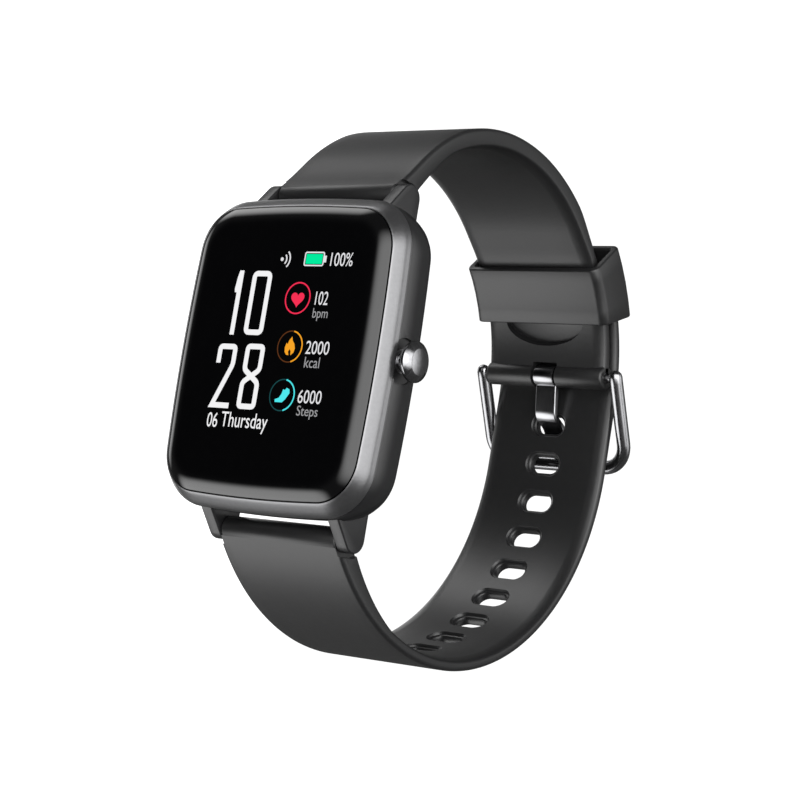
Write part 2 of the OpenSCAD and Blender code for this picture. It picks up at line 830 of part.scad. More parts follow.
module buckle_bar_tube() {
    color([0.6, 0.6, 0.62])
        difference() {
            rod_x(buckle_bar, buckle_tube_r, -strap_w / 2 + 0.4, strap_w / 2 - 0.4);
            rod_x(buckle_bar, buckle_tip_r + eps, -strap_w, strap_w);
        }
}
module buckle_bar_tips() {
    color([0.65, 0.65, 0.67])
        both_x()
            rod_x(buckle_bar, buckle_tip_r, strap_w / 2 - 2.5, arm_x + arm_w / 2 - 0.55);
}
module buckle_frame() {
    turn_y = frame_len - frame_t / 2 - corner_r;
    color([0.3, 0.3, 0.31])
        place([buckle_bar[0], buckle_bar[1], frame_heading])
            difference() {
                union() {
                    both_x() {
                        translate([arm_x, 0, 0])
                            rotate([-90, 0, 0])
                                linear_extrude(turn_y)
                                    polygon(rounded(arm_w, frame_t, edge_r, 4));
                        translate([arm_x - arm_w / 2, 0, 0])
                            rotate([0, 90, 0])
                                cylinder(h = arm_w, r = eyelet_r);
                        translate([arm_x - corner_r, turn_y, 0])
                            rotate_extrude(angle = 90)
                                translate([corner_r, 0])
                                    polygon(rounded(arm_w, frame_t, edge_r, 4));
                    }
                    translate([-arm_x + corner_r, turn_y + corner_r, 0])
                        rotate([90, 0, 90])
                            linear_extrude(2 * (arm_x - corner_r))
                                polygon(rounded(arm_w, frame_t, edge_r, 4));
                }
                both_x()
                    translate([arm_x - arm_w / 2 - 1, 0, 0])
                        rotate([0, 90, 0])
                            cylinder(h = 1 + arm_w - 0.5, r = buckle_tip_r + 0.03);
            }
}

tongue_t = 0.9;
curl_r = buckle_tube_r + run + 0.75;
// Corners of the tongue's middle line, measured from the bar: [along the tail, outwards]
tongue_line = [[1.25, 0.15], [5.85, 1.02], [7.2, 3.75], [10.3, 5.75]];
// The middle line's corner i, moved sideways by d with a mitre
function mitre(i, d) =
    let (u = i > 0 ? tongue_line[i] - tongue_line[i - 1] : tongue_line[1] - tongue_line[0],
         v = i < 3 ? tongue_line[i + 1] - tongue_line[i] : u,
         n = [-u[1], u[0]] / norm(u), m = [-v[1], v[0]] / norm(v),
         p = tongue_line[i] + d * (n + m) / (1 + n * m))
    buckle_bar + [-p[0], -p[1]];

module buckle_tongue() {
    color([0.35, 0.35, 0.36])
        difference() {
            union() {
                rod_x(buckle_bar, curl_r, -tongue_w / 2, tongue_w / 2);
                profile_x(-tongue_w / 2, tongue_w / 2)
                    polygon(concat([for (i = [0:3]) mitre(i, tongue_t / 2)],
                                   [for (i = [3:-1:0]) mitre(i, -tongue_t / 2)]));
            }
            rod_x(buckle_bar, buckle_tube_r + run, -strap_w, strap_w);
        }
}

case_body();
bezel_ring();
cover_glass();
glass_adhesive();
display_panel();
display_flex();
inner_frame();
mainboard();
board_chips();
shield_can();
battery();
battery_tape();
vibration_motor();
antenna_strip();
sensor_board();
sensor_leds();
sensor_window();
charging_contacts();
back_cover();
back_gasket();
case_screws();
side_button();
button_bushing();
button_seal();
button_clip();
switch_body();
switch_plunger();
buckle_strap();
hole_strap();
keeper_loop();
upper_bar_tube();
upper_bar_pin();
upper_bar_spring();
lower_bar_tube();
lower_bar_pin();
lower_bar_spring();
buckle_bar_tube();
buckle_bar_tips();
buckle_frame();
buckle_tongue();
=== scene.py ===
import math

import bpy
import numpy as np
from mathutils import Euler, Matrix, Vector


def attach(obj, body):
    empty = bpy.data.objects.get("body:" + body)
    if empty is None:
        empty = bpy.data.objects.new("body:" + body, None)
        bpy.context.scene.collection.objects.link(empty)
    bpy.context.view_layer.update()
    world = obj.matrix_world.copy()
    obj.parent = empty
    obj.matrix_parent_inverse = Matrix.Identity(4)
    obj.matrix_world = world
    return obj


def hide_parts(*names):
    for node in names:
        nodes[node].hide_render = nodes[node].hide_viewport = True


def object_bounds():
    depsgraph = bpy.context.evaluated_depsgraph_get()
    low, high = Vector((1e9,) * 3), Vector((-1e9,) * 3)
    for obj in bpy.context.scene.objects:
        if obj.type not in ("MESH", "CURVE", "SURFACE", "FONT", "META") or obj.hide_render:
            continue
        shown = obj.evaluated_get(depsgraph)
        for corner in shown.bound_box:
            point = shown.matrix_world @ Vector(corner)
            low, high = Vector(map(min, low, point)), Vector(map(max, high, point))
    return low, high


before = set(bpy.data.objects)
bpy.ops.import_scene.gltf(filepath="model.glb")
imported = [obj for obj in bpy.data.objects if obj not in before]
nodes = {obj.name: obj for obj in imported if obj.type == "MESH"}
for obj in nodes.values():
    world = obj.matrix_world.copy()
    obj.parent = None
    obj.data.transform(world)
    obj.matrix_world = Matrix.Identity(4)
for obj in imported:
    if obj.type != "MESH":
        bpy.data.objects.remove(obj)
cad_low, cad_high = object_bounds()
MM = 0.001
FLOOR_Z = cad_low.z - 0.35

# ---- Studio ----
# A plain white floor and soft lights all round. The watch hangs in its closed loop well above the
# floor, seen from the button side and a little above 6 o'clock.
scene = bpy.context.scene
camera_data = bpy.data.cameras.new("camera")
camera_data.lens = 99.9
camera_data.sensor_width = 36
camera = bpy.data.objects.new("camera", camera_data)
scene.collection.objects.link(camera)
camera.location = Vector((181.0, -38.8, 213.6)) * MM
camera.rotation_euler = Euler([math.radians(a) for a in (14.31, 36.48, 11.39)])
camera_data.clip_start = 0.01
camera_data.clip_end = 20
scene.camera = camera

scene.view_settings.view_transform = "Standard"
world = bpy.data.worlds.new("studio")
scene.world = world
world.use_nodes = True
sky = world.node_tree
facing = sky.nodes.new("ShaderNodeTexCoord").outputs["Generated"]


def sky_math(op, *values, kind="ShaderNodeMath"):
    made = sky.nodes.new(kind)
    made.operation = op
    for i, value in enumerate(values):
        if hasattr(value, "is_linked"):
            sky.links.new(value, made.inputs[i])
        else:
            made.inputs[i].default_value = value
    return made.outputs["Value"]


def sky_step(value, low, high):
    made = sky.nodes.new("ShaderNodeMapRange")
    made.interpolation_type = "SMOOTHSTEP"
    sky.links.new(value, made.inputs["Value"])
    made.inputs["From Min"].default_value, made.inputs["From Max"].default_value = low, high
    return made.outputs["Result"]


# Soft lights over a dim fill: overhead, low on the button side, behind on the left, in front on
# the left, and far left. The dark card is what the flat glass mirrors.
glow = 0.07
for toward, edge, full, strength in (((0.45, 0.10, 0.89), 0.72, 0.98, 3.2),
                                     ((0.93, 0.12, 0.33), 0.72, 0.96, 3.4),
                                     ((-0.61, 0.79, -0.02), 0.88, 0.99, 3.0),
                                     ((-0.61, -0.68, 0.40), 0.86, 0.98, 3.3),
                                     ((-0.98, 0.13, 0.00), 0.94, 0.995, 2.0)):
    lobe = sky_step(sky_math("DOT_PRODUCT", facing, toward, kind="ShaderNodeVectorMath"), edge, full)
    glow = sky_math("MULTIPLY_ADD", lobe, strength, glow)
card = sky_step(sky_math("DOT_PRODUCT", facing, (-0.61, 0.13, 0.78), kind="ShaderNodeVectorMath"),
                0.995, 0.8)
open_sky = sky.nodes.new("ShaderNodeLightPath").outputs["Is Camera Ray"]
sky.links.new(sky_math("MAXIMUM", sky_math("MULTIPLY", card, glow), open_sky),
              sky.nodes["Background"].inputs["Strength"])
sky.nodes["Background"].inputs["Color"].default_value = (1, 1, 1, 1)

bpy.ops.object.select_all(action="DESELECT")
bpy.ops.mesh.primitive_plane_add(size=12, location=(0, 0, FLOOR_Z))
floor = bpy.context.object
floor.name = "floor"
paper = bpy.data.materials.new("paper")
paper.use_nodes = True
paper_shader = paper.node_tree.nodes["Principled BSDF"]
paper_shader.inputs["Emission Color"].default_value = (1, 1, 1, 1)
paper_shader.inputs["Base Color"].default_value = (0.05, 0.05, 0.05, 1)
paper_nodes, paper_links = paper.node_tree.nodes, paper.node_tree.links
where = paper_nodes.new("ShaderNodeNewGeometry").outputs["Position"]
light = paper_nodes.new("ShaderNodeLightPath").outputs["Is Camera Ray"]
# White to the camera; the watch sees it dark, with a bright patch on either side
for x, y, reach in ((-0.75, 0.15, 0.45), (1.0, 0.15, 0.76)):
    away = paper_nodes.new("ShaderNodeVectorMath")
    away.operation = "DISTANCE"
    paper_links.new(where, away.inputs[0])
    away.inputs[1].default_value = (x, y, FLOOR_Z)
    patch = paper_nodes.new("ShaderNodeMapRange")
    paper_links.new(away.outputs["Value"], patch.inputs["Value"])
    for name, value in (("From Min", reach), ("From Max", 0.1), ("To Min", 0.0), ("To Max", 2.5)):
        patch.inputs[name].default_value = value
    either = paper_nodes.new("ShaderNodeMath")
    either.operation = "ADD"
    paper_links.new(light, either.inputs[0])
    paper_links.new(patch.outputs["Result"], either.inputs[1])
    light = either.outputs["Value"]
paper_links.new(light, paper_shader.inputs["Emission Strength"])
floor.data.materials.append(paper)


class Socket:
    """A node's output that takes part in sums, so that a pattern is written as a formula."""

    def __init__(self, finish, out):
        self.finish, self.out = finish, out

    def _math(self, op, *values):
        return self.finish.node("ShaderNodeMath", {"operation": op}, values)

    def __add__(self, o):
        return self._math("ADD", self, o)

    def __radd__(self, o):
        return self._math("ADD", o, self)

    def __mul__(self, o):
        return self._math("MULTIPLY", self, o)

    def __rmul__(self, o):
        return self._math("MULTIPLY", o, self)


class Finish:
    """A material built round one Principled shader."""

    def __init__(self, name, **shader):
        self.material = bpy.data.materials.new(name)
        self.material.use_nodes = True
        self.tree = self.material.node_tree
        self.shader = self.tree.nodes["Principled BSDF"]
        for key, value in shader.items():
            socket = self.shader.inputs[key.replace("_", " ")]
            socket.default_value = (*value, 1) if isinstance(value, tuple) and len(value) == 3 else value
        self.place = None

    def node(self, kind, settings, values, out=0):
        made = self.tree.nodes.new(kind)
        for key, value in settings.items():
            setattr(made, key, value)
        items = values.items() if isinstance(values, dict) else enumerate(values)
        for key, value in items:
            if isinstance(value, Socket):
                self.tree.links.new(value.out, made.inputs[key])
            elif value is not None:
                made.inputs[key].default_value = value
        return Socket(self, made.outputs[out])

    def noise(self, scale, detail=2.0, stretch=(1, 1, 1)):
        if self.place is None:
            self.place = self.node("ShaderNodeTexCoord", {}, {}, "Object")
        spread = self.node("ShaderNodeMapping", {}, {"Vector": self.place, "Scale": stretch})
        return self.node("ShaderNodeTexNoise", {}, {"Vector": spread, "Scale": scale, "Detail": detail})

    def set(self, key, value):
        self.tree.links.new(value.out, self.shader.inputs[key])

    def colours(self, mask, low, high):
        mix = self.tree.nodes.new("ShaderNodeMix")
        mix.data_type = "RGBA"
        self.tree.links.new(mask.out, mix.inputs[0])
        for slot, value in ((6, low), (7, high)):
            if isinstance(value, Socket):
                self.tree.links.new(value.out, mix.inputs[slot])
            else:
                mix.inputs[slot].default_value = (*value, 1)
        return Socket(self, mix.outputs[2])

    def bump(self, height, distance, strength=1.0):
        self.set("Normal", self.node("ShaderNodeBump", {},
                                     {"Height": height, "Distance": distance, "Strength": strength}))


def plain_finish(name, low, high, roughness, spread, metallic=0.0, grain=900.0, bump=0.00001,
                 stretch=(1, 1, 1), **shader):
    """A finish whose colour and roughness wander a little over the surface."""
    f = Finish(name, Metallic=metallic, **shader)
    wander = f.noise(grain, 3.0, stretch)
    f.set("Base Color", f.colours(wander, low, high))
    f.set("Roughness", wander * spread + (roughness - spread / 2))
    f.bump(wander, bump)
    return f.material


# ---- Case body ----
# A moulded dark polymer shell: bowed sides, round corners, and four lugs that carry the straps.
# The side is a straight band that rolls in to the back.
CASE_HALF_W, CASE_HALF_L, CASE_CORNER = 17.05, 20.1, 6.7
SEAM_Z = 9.8
BAR = (21.9, 2.3)


def bow_and_corners(half_w, half_l, corner, steps=10):
    """A closed outline of four slightly bowed sides and four round corners."""
    bow_x, bow_y = 250.0, 190.0
    c1, c2 = np.array([half_w - bow_x, 0.0]), np.array([0.0, half_l - bow_y])
    r1, r2, d = bow_x - corner, bow_y - corner, np.linalg.norm(c2 - c1)
    a = (r1 * r1 - r2 * r2 + d * d) / (2 * d)
    u = (c2 - c1) / d
    k = c1 + a * u + math.sqrt(r1 * r1 - a * a) * np.array([-u[1], u[0]])
    t1 = math.atan2(k[1], k[0] - c1[0])
    t2 = math.atan2(k[1] - c2[1], k[0])
    side = [c1 + bow_x * np.array([math.cos(t), math.sin(t)]) for t in np.linspace(0, t1, steps)[:-1]]
    bend = [k + corner * np.array([math.cos(t), math.sin(t)]) for t in np.linspace(t1, t2, 16)]
    end = [c2 + bow_y * np.array([math.cos(t), math.sin(t)])
           for t in np.linspace(t2, math.pi / 2, steps)[1:]]
    quarter = [tuple(p) for p in side + bend + end]
    half = quarter + [(-x, y) for x, y in reversed(quarter[:-1])]
    return half + [(x, -y) for x, y in reversed(half[1:-1])]


def shell(name, rings, wrap=False, caps=True):
    """A skin stretched over rings of points in millimetres, each ring closed."""
    n = len(rings[0])
    points = [Vector(p) * MM for ring in rings for p in ring]
    faces = []
    for i in range(len(rings) if wrap else len(rings) - 1):
        j = (i + 1) % len(rings)
        for k in range(n):
            m = (k + 1) % n
            faces.append((i * n + k, i * n + m, j * n + m, j * n + k))
    if caps and not wrap:
        faces.append(tuple(reversed(range(n))))
        faces.append(tuple(range((len(rings) - 1) * n, len(rings) * n)))
    mesh = bpy.data.meshes.new(name)
    mesh.from_pydata(points, [], faces)
    o = bpy.data.objects.new(name, mesh)
    scene.collection.objects.link(o)
    bpy.ops.object.select_all(action="DESELECT")
    o.select_set(True)
    bpy.context.view_layer.objects.active = o
    bpy.ops.object.mode_set(mode="EDIT")
    bpy.ops.mesh.select_all(action="SELECT")
    bpy.ops.mesh.normals_make_consistent(inside=False)
    bpy.ops.object.mode_set(mode="OBJECT")
    return o


def fit(o, other, how="DIFFERENCE"):
    """Cuts other out of o, or joins them, and removes other."""
    b = o.modifiers.new(how, "BOOLEAN")
    b.operation, b.object, b.solver = how, other, "EXACT"
    bpy.context.view_layer.objects.active = o
    bpy.ops.object.modifier_apply(modifier=how)
    bpy.data.objects.remove(other)


def finish_piece(o, material, body, *stands_for, slot=None, edge=0.0, angle=35.0, segments=3):
    """Rounds the sharp edges, smooths the shading and fixes the piece to its body."""
    bpy.ops.object.select_all(action="DESELECT")
    o.select_set(True)
    bpy.context.view_layer.objects.active = o
    if edge:
        b = o.modifiers.new("edges", "BEVEL")
        b.width, b.segments, b.limit_method, b.angle_limit = edge * MM, segments, "ANGLE", math.radians(angle)
        b.use_clamp_overlap = True
        bpy.ops.object.modifier_apply(modifier="edges")
    bpy.ops.object.shade_smooth_by_angle(angle=math.radians(40))
    o.data.materials.clear()
    o.data.materials.append(material)
    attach(o, body)
    if stands_for:
        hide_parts(*stands_for)
    return o


def rod(name, radii, y, z, sides=48):
    """A turned piece along X: (x, radius) pairs give its profile."""
    rings = [[(x, y + r * math.cos(t), z + r * math.sin(t))
              for t in np.linspace(0, 2 * math.pi, sides, False)]
             for x, r in radii]
    return shell(name, rings)


case_profile = [(-2.2, 7.35), (-0.14, 7.38), (-0.05, 7.3), (0, 7.2), (0, 5.4), (-0.06, 4.9), (-0.2, 4.2),
                (-0.42, 3.4), (-0.7, 2.6), (-1.1, 1.9), (-1.65, 1.25), (-2.2, 0.8), (-2.55, 0.6)]
case = shell("case_shell",
             [[(x, y, z) for x, y in bow_and_corners(CASE_HALF_W + g, CASE_HALF_L + g, CASE_CORNER + g)]
              for g, z in case_profile])
TIP = (BAR[0] - 0.4, BAR[1] + 0.1)
TIP_R, LUG_SLOPE = 1.82, 40.5
lug_front = [TIP[0] + TIP_R * math.sin(math.radians(LUG_SLOPE)),
             TIP[1] + TIP_R * math.cos(math.radians(LUG_SLOPE))]
lug_top = lug_front[1] + (lug_front[0] - CASE_HALF_L + 1.3) * math.tan(math.radians(LUG_SLOPE))
lug_side = [(TIP[0] + TIP_R * math.cos(t), TIP[1] + TIP_R * math.sin(t))
            for t in np.linspace(-math.pi / 2, math.radians(90 - LUG_SLOPE), 14)]
lug_side += [(CASE_HALF_L - 1.3, lug_top), (CASE_HALF_L - 3, lug_top), (CASE_HALF_L - 3, TIP[1] - TIP_R)]
for sx in (-1, 1):
    for sy in (-1, 1):
        lug = shell("lug", [[(sx * x, sy * y, z) for y, z in lug_side] for x in (9.5, 11.38)])
        b = lug.modifiers.new("soft", "BEVEL")
        b.width, b.segments, b.limit_method, b.angle_limit = 0.22 * MM, 3, "ANGLE", math.radians(50)
        bpy.ops.object.modifier_apply(modifier="soft")
        fit(case, lug, "UNION")
BUTTON_Y, BUTTON_Z = 0.2, 5.8
fit(case, rod("well", [(16.65, 2.85), (18, 2.85)], BUTTON_Y, BUTTON_Z))
case_polymer = plain_finish("case_polymer", (0.010, 0.010, 0.0105), (0.013, 0.013, 0.0135), 0.3, 0.05)
finish_piece(case, case_polymer, "root", "case_body", slot="case_polymer")

# ---- Bezel ring ----
# A satin metal ring with a wide chamfer from the case's side up to the glass, and a narrow groove
# at the glass. It is pressed on to the shell.
bezel_profile = [(0.0, 7.42), (-0.03, 7.5), (0.0, 7.62), (0.03, 7.88), (0.09, 8.13), (0.19, 8.4),
                 (0.32, 8.67), (0.45, 8.92), (0.58, 9.16), (0.71, 9.39), (0.82, 9.57), (0.9, 9.68),
                 (0.95, 9.72), (1.0, 9.69), (1.0, 9.3), (2.4, 9.3), (2.4, 7.42)]
BEZEL_SIDE, BEZEL_END, GLASS_CORNER = 1.13, 1.52, 5.6
bezel = shell("bezel",
              [[(x, y, z) for x, y in bow_and_corners(CASE_HALF_W - BEZEL_SIDE * t,
                                                      CASE_HALF_L - BEZEL_END * t, CASE_CORNER - 1.1 * t)]
               for t, z in bezel_profile], wrap=True)
bezel_metal = plain_finish("bezel_metal", (0.145, 0.145, 0.148), (0.18, 0.18, 0.184), 0.3, 0.05, 0.9,
                           grain=2500)
finish_piece(bezel, bezel_metal, "root", "bezel_ring", slot="bezel_metal")

# ---- Cover glass ----
# Black glass, flat in the middle with edges ground to a wide curve. It is bonded inside the bezel.
EDGE_W, EDGE_DROP, GROOVE = 3.0, 0.9, 0.13
glass_profile = [(-GROOVE - 0.01, 9.2), (-GROOVE, 9.7)]
glass_profile += [(-GROOVE - EDGE_W * t, SEAM_Z + EDGE_DROP * (1 - (1 - t) ** 2.4))
                  for t in np.linspace(0, 1, 15) ** 1.2]
glass = shell("glass",
              [[(x, y, z) for x, y in bow_and_corners(CASE_HALF_W - BEZEL_SIDE + g,
                                                      CASE_HALF_L - BEZEL_END + g, GLASS_CORNER + g)]
               for g, z in glass_profile])
black_glass = plain_finish("black_glass", (0.0012, 0.0012, 0.0014), (0.0016, 0.0016, 0.0018), 0.09, 0.01,
                           bump=0.0, Specular_IOR_Level=0.6)
finish_piece(glass, black_glass, "root", "cover_glass", slot="cover_glass")

# ---- Display ----
# The lit clock face: a tall clock, the date, a status line and three round counters. The real one
# shines through the glass; here every shape is flat and lies on the glass's top face.
LIT_Z, LIT_T = 10.702, 0.014


def lit(name, colour, strength):
    f = Finish(name, Base_Color=(0.0, 0.0, 0.0), Roughness=0.3, Specular_IOR_Level=0.1,
               Emission_Strength=strength)
    dim = tuple(c * 0.94 for c in colour)
    f.set("Emission Color", f.colours(f.noise(4000.0), dim, colour))
    return f.material


def slab_of(points):
    """A flat shape on the glass from its outline."""
    return shell("shape", [[(x, y, z) for x, y in points] for z in (LIT_Z, LIT_Z + LIT_T)])


def loop_of(outer, inner):
    """A flat loop between two outlines of as many points."""
    z0, z1 = LIT_Z, LIT_Z + LIT_T
    return shell("loop", [[(*p, z0) for p in outer], [(*p, z1) for p in outer],
                          [(*p, z1) for p in inner], [(*p, z0) for p in inner]], wrap=True)


def stroke(points, half=0.35):
    """A stroke of even width along corner points, mitred, with square ends."""
    pts = [np.array(p, float) for p in points]
    left, right = [], []
    for i, p in enumerate(pts):
        u = pts[i] - pts[i - 1] if i else pts[1] - pts[0]
        v = pts[i + 1] - pts[i] if i < len(pts) - 1 else u
        u, v = u / np.linalg.norm(u), v / np.linalg.norm(v)
        n, m = np.array([-u[1], u[0]]), np.array([-v[1], v[0]])
        d = (n + m) / (1 + n @ m) * half
        left.append(tuple(p + d))
        right.append(tuple(p - d))
    return slab_of(left + right[::-1])


def rounded_corners(points, r, steps=5):
    """A run of points with each inner corner cut to a curve."""
    pts = [np.array(p, float) for p in points]
    made = [tuple(pts[0])]
    for i in range(1, len(pts) - 1):
        u, v = pts[i - 1] - pts[i], pts[i + 1] - pts[i]
        a, c = pts[i] + u / np.linalg.norm(u) * r, pts[i] + v / np.linalg.norm(v) * r
        for t in np.linspace(0, 1, steps):
            made.append(tuple((1 - t) ** 2 * a + 2 * t * (1 - t) * pts[i] + t * t * c))
    return made + [tuple(pts[-1])]


def ring_of(points, half=0.35):
    """A closed stroke."""
    n = len(points)
    pts = [np.array(p, float) for p in points]
    outer, inner = [], []
    for i in range(n):
        u, v = pts[i] - pts[i - 1], pts[(i + 1) % n] - pts[i]
        u, v = u / np.linalg.norm(u), v / np.linalg.norm(v)
        a, b = np.array([u[1], -u[0]]), np.array([v[1], -v[0]])
        d = (a + b) / (1 + a @ b) * half
        outer.append(tuple(pts[i] + d))
        inner.append(tuple(pts[i] - d))
    return loop_of(outer, inner)


def round_box(x0, y0, x1, y1, r):
    return [(cx + r * math.cos(math.radians(a0 + 18 * q)), cy + r * math.sin(math.radians(a0 + 18 * q)))
            for cx, cy, a0 in ((x1 - r, y1 - r, 0), (x0 + r, y1 - r, 90), (x0 + r, y0 + r, 180),
                               (x1 - r, y0 + r, 270)) for q in range(6)]


def circle_of(x, y, r, a0=0, a1=360, n=48):
    return [(x + r * math.cos(math.radians(a0 + (a1 - a0) * i / n)),
             y + r * math.sin(math.radians(a0 + (a1 - a0) * i / n)))
            for i in range(n if a1 - a0 == 360 else n + 1)]


def lettering(words, x0, y0, x1, y1):
    """Flat letters stretched to fill a box on the glass."""
    bpy.ops.object.select_all(action="DESELECT")
    bpy.ops.object.text_add()
    o = bpy.context.object
    o.data.body = words
    o.data.extrude = 0.01
    o.data.resolution_u = 4
    bpy.ops.object.convert(target="MESH")
    co = np.array([v.co for v in o.data.vertices])
    low, high = co.min(0), co.max(0)
    goal_low, goal_high = np.array([x0, y0, LIT_Z]), np.array([x1, y1, LIT_Z + LIT_T])
    for v in o.data.vertices:
        v.co = Vector((goal_low + (np.array(v.co) - low) / (high - low) * (goal_high - goal_low)) * MM)
    return o


def light_up(name, shapes, material):
    """Joins shapes of one colour into one piece."""
    bpy.ops.object.select_all(action="DESELECT")
    for o in shapes:
        o.select_set(True)
    bpy.context.view_layer.objects.active = shapes[0]
    bpy.ops.object.join()
    o = bpy.context.object
    o.name = name
    o.data.materials.clear()
    o.data.materials.append(material)
    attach(o, "root")


eight = [(-3.87, 0.3), (-1.4, 0.3), (-1.4, -2.62), (-2.63, -3.45), (-3.87, -2.62)]
eight_low = [(-3.87, -4.28), (-2.63, -3.45), (-1.4, -4.28), (-1.4, -7.3), (-3.87, -7.3)]
clock = [
    stroke([(-7.04, 9.98), (-7.04, 1.7)]),
    slab_of([(-7.69, 7.15), (-7.39, 7.15), (-7.39, 9.95), (-7.6, 9.1), (-7.78, 7.6)]),
    ring_of(round_box(-4.78, 2.1, -2.25, 9.62, 0.5)),
    stroke(rounded_corners([(-8.45, -1.95), (-8.45, 0.17), (-5.95, 0.17), (-5.95, -2.1), (-8.37, -7.33),
                            (-5.5, -7.33)], 0.45)[:-6] + [(-8.37, -7.33), (-5.5, -7.33)]),
    ring_of(rounded_corners([*eight[3:], *eight[:4]], 0.45)[:-1][::-1]),
    ring_of(rounded_corners([*eight_low[1:], *eight_low[:2]], 0.45)[:-1][::-1]),
    lettering("06", -8.65, -10.15, -6.9, -8.3),
    lettering("Thursday", -6.3, -10.6, 1.35, -8.1),
]
light_up("clock_digits", clock, lit("white_light", (0.92, 0.92, 0.93), 1.0))
fine = [
    lettering("100%", 7.1, 10.7, 10.6, 12.4),
    lettering("102", 5.7, 5.8, 7.7, 7.5),
    lettering("2000", 5.5, -0.35, 9.2, 1.3),
    lettering("6000", 5.55, -6.45, 9.25, -4.8),
    ring_of(round_box(2.95, 10.75, 5.95, 12.4, 0.2), 0.09),
    slab_of([(6.05, 11.15), (6.4, 11.15), (6.4, 12.0), (6.05, 12.0)]),
    slab_of(circle_of(-0.75, 11.5, 0.24, n=20)),
]
for r in (0.75, 1.3):
    fine.append(stroke(circle_of(-0.75, 11.5, r, -48, 48, 12), 0.1))
light_up("status_digits", fine, lit("soft_white_light", (0.8, 0.8, 0.82), 1.0))
units = [
    lettering("bpm", 5.65, 3.8, 8.05, 5.4),
    lettering("kcal", 5.65, -2.05, 8.05, -0.7),
    lettering("Steps", 5.7, -8.4, 9.05, -6.75),
]
light_up("unit_words", units, lit("grey_light", (0.33, 0.33, 0.34), 1.0))
light_up("battery_level", [slab_of(round_box(3.15, 10.95, 5.75, 12.2, 0.08))],
         lit("green_light", (0.0, 0.85, 0.35), 1.0))

HEART_SIZE = 0.066
heart = []
for t in np.linspace(0, 2 * math.pi, 40, False):
    rise_t = 13 * math.cos(t) - 5 * math.cos(2 * t) - 2 * math.cos(3 * t) - math.cos(4 * t)
    heart.append((2.84 + HEART_SIZE * 16 * math.sin(t) ** 3, 6.5 + HEART_SIZE * rise_t))
light_up("pulse_counter", [ring_of(circle_of(2.84, 6.6, 1.95), 0.09), slab_of(heart[::-1])],
         lit("red_light", (0.95, 0.03, 0.09), 1.0))
flame = [(2.9, -0.6), (2.72, -0.15), (2.95, 0.2), (3.15, -0.1), (3.2, -0.6), (3.62, -0.25), (3.75, 0.25),
         (3.55, 0.85), (3.2, 1.25), (3.05, 1.75), (2.65, 1.25), (2.5, 0.75), (2.3, 0.95), (2.12, 0.35),
         (2.2, -0.2), (2.5, -0.55)]
light_up("energy_counter", [stroke(circle_of(2.89, 0.49, 1.95, -75, 80, 24), 0.09), slab_of(flame)],
         lit("amber_light", (0.95, 0.38, 0.02), 1.0))
light_up("energy_track", [stroke(circle_of(2.89, 0.49, 1.95, 80, 285, 32), 0.07)],
         lit("dim_amber_light", (0.11, 0.035, 0.01), 1.0))
shoe = [(1.95, -6.5), (3.1, -6.5), (3.55, -6.1), (4.1, -5.3), (4.0, -4.85), (3.55, -4.65), (3.3, -4.95),
        (3.0, -4.85), (2.85, -5.45), (2.5, -5.95), (1.9, -6.15)]
light_up("step_counter", [stroke(circle_of(2.94, -5.59, 1.95, -75, 80, 24), 0.09), slab_of(shoe)],
         lit("cyan_light", (0.08, 0.85, 0.88), 1.0))
light_up("step_track", [stroke(circle_of(2.94, -5.59, 1.95, 80, 285, 32), 0.07)],
         lit("dim_cyan_light", (0.01, 0.07, 0.075), 1.0))

# ---- Straps ----
# Soft silicone, moulded in one piece each. Both hold a spring bar in the roll at the case, the
# 12 o'clock strap also holds the buckle's bar, and the other one has ten adjustment holes.
LUG_ROLL_R, STRAP_HALF = 1.7, 10.0
SHORT_T, LONG_T = 2.0, 1.7
SLIDE_R, STRAP_GAP = 26, 0.12
HOLES, HOLE_PITCH, TONGUE_DROP = 10, 5.8, 6.9


def ahead(h):
    return np.array([math.cos(math.radians(h)), math.sin(math.radians(h))])


def outward(h):
    return np.array([-math.sin(math.radians(h)), math.cos(math.radians(h))])


def along(start, steps, distance):
    """Place (y, z), heading and distance at a distance along a path of [length, turn] steps."""
    p, h, done = np.array(start[:2], float), start[2], 0.0
    for n, (length, turn) in enumerate(steps):
        part = distance - done if n == len(steps) - 1 else min(length, distance - done)
        bend = turn * part / length
        if turn:
            r = length / math.radians(turn)
            p = p - r * outward(h) + r * outward(h - bend)
        else:
            p = p + part * ahead(h)
        h -= bend
        done += part
        if done >= distance - 1e-9:
            break
    return p, h


def arc_step(r, turn):
    return (r * math.radians(turn), turn)


buckle_steps = [(6.2, 0), arc_step(27, 85), (3.2, 0), arc_step(SLIDE_R, 38), (2.3, 0)]
rise = LUG_ROLL_R - SHORT_T / 2
buckle_start = (*(np.array(BAR) + rise * outward(-45)), -45)
buckle_len = sum(s[0] for s in buckle_steps)
buckle_bar, end_heading = along(buckle_start, buckle_steps, buckle_len)
arc_p, arc_h = along(buckle_start, buckle_steps, sum(s[0] for s in buckle_steps[:3]))
arc_centre = arc_p - SLIDE_R * outward(arc_h)
tail_r = np.linalg.norm(buckle_bar - arc_centre) + LUG_ROLL_R + STRAP_GAP + LONG_T / 2
tail_z = arc_centre[1] - tail_r
FLAT_Y = 3.4
low_dy, low_dz = BAR[0] - FLAT_Y, BAR[1] - tail_z
low_r = (low_dy**2 + low_dz**2 - 0.85**2) / (2 * (low_dz - 0.85))
low_centre = np.array([FLAT_Y, tail_z + low_r])
low_heading = -math.degrees(math.atan2(BAR[0] - FLAT_Y, BAR[1] - low_centre[1]))
hole_start = (*(low_centre + low_r * outward(low_heading)), low_heading)
hole_steps = [arc_step(low_r, 180 + low_heading), (FLAT_Y + arc_centre[0], 0), arc_step(tail_r, 43)]
hole_len = sum(s[0] for s in hole_steps)


